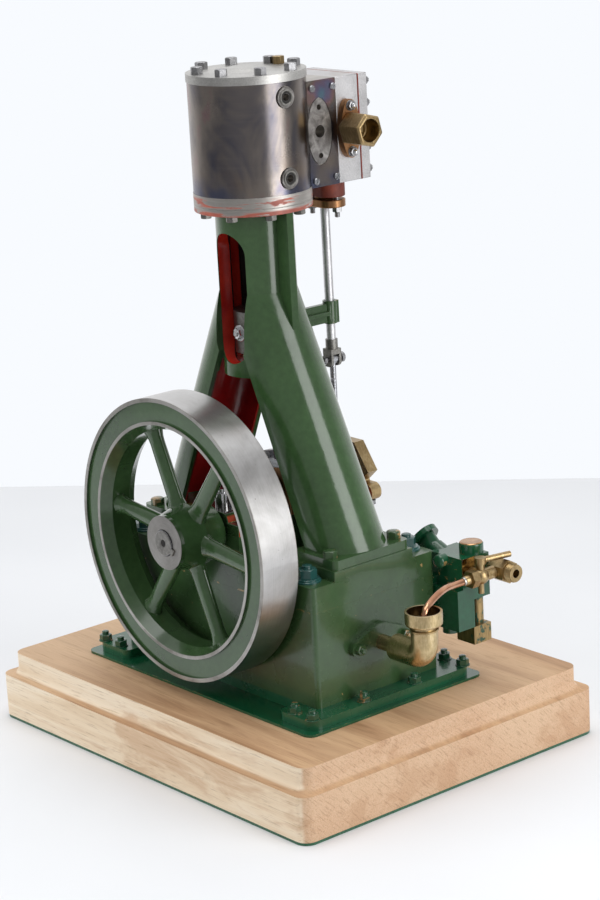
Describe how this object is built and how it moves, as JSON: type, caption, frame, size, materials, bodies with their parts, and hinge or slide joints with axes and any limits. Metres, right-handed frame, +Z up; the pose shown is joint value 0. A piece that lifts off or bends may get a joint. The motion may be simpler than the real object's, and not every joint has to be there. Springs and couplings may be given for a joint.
{
  "type": "model stationary steam engine",
  "caption": "Model vertical stationary steam engine with splayed trunk column, clad cylinder, flywheel, valve gear and feed pump on a wooden plinth.",
  "frame": {"origin": "centre of the plinth's underside", "axes": "+Z up, crankshaft along Y with the flywheel towards -Y, steam inlet and return cup towards +X"},
  "size_m": [0.309, 0.24, 0.4277],
  "materials": {
    "felt": "green felt under the plinth",
    "wood": "pale unfinished timber",
    "dark_green_paint": "dark green gloss paint, worn at the edges",
    "green_paint": "olive green gloss paint",
    "machined_iron": "light grey machined iron",
    "blued_steel": "heat-blued sheet steel",
    "steel": "bright turned steel",
    "brass": "dull brass",
    "bronze": "bronze",
    "red_oxide": "red oxide primer",
    "gasket": "red jointing sheet",
    "copper": "bright copper pipe"
  },
  "bodies": {
    "engine": {"base_box": "green_paint", "base_felt": "felt", "bypass_pipe": "copper", "bypass_union": "brass", "bypass_valve": "brass", "chest_cover": "machined_iron", "chest_gasket": "gasket", "column": "green_paint", "connecting_rod": "steel", "cover_plug": "brass", "crosshead": "machined_iron", "crosshead_pin": "steel", "cylinder": "machined_iron", "cylinder_bottom_cover": "machined_iron", "cylinder_cladding": "blued_steel", "cylinder_top_cover": "machined_iron", "drip_tray": "dark_green_paint", "eccentric_rod_eye": "steel", "feed_outlet": "brass", "fork_pin": "steel", "front_bearing_bush": "bronze", "front_bearing_cap": "green_paint", "front_oil_cup": "steel", "piston_gland": "machined_iron", "piston_rod": "steel", "pump_body": "dark_green_paint", "pump_branch": "dark_green_paint", "pump_cap": "dark_green_paint", "pump_inlet": "brass", "rear_bearing_bush": "bronze", "rear_bearing_cap": "green_paint", "rear_oil_cup": "steel", "return_elbow": "brass", "return_flange": "green_paint", "soleplate": "green_paint", "steam_chest": "machined_iron", "steam_inlet_flange": "bronze", "steam_inlet_union": "brass", "valve_fork": "steel", "valve_gland": "bronze", "valve_gland_body": "red_oxide", "valve_guide_bracket": "green_paint", "valve_rod": "steel", "wood_plinth": "wood"},
    "rotor": {"flywheel": "green_paint", "crankshaft": "steel", "eccentric_sheave": "machined_iron"},
    "big_end": {"big_end_upper": "bronze", "big_end_lower": "bronze", "rod_palm": "steel"},
    "eccentric_strap": {"eccentric_strap_upper": "brass", "eccentric_strap_lower": "brass", "eccentric_rod": "steel"},
    "lever": {"bypass_lever": "brass"}
  },
  "joints": [
    {"name": "flywheel_turn", "type": "hinge", "parent": "engine", "child": "rotor", "pos_m": [0.00265, -0.009, 0.1459], "axis": [0, 1, 0], "continuous": true},
    {"name": "big_end_turn", "type": "hinge", "parent": "rotor", "child": "big_end", "pos_m": [0.01872, -0.009, 0.16505], "axis": [0, 1, 0], "continuous": true},
    {"name": "strap_turn", "type": "hinge", "parent": "rotor", "child": "eccentric_strap", "pos_m": [0.00265, 0.0475, 0.1519], "axis": [0, 1, 0], "continuous": true},
    {"name": "lever_turn", "type": "hinge", "parent": "engine", "child": "lever", "pos_m": [0.126, 0.0525, 0.124], "axis": [0, 0, 1], "range_deg": [-90, 10]}
  ],
  "couplings": [
    {"joint": "big_end_turn", "follows": "flywheel_turn", "ratio": -1},
    {"joint": "strap_turn", "follows": "flywheel_turn", "ratio": -1}
  ]
}
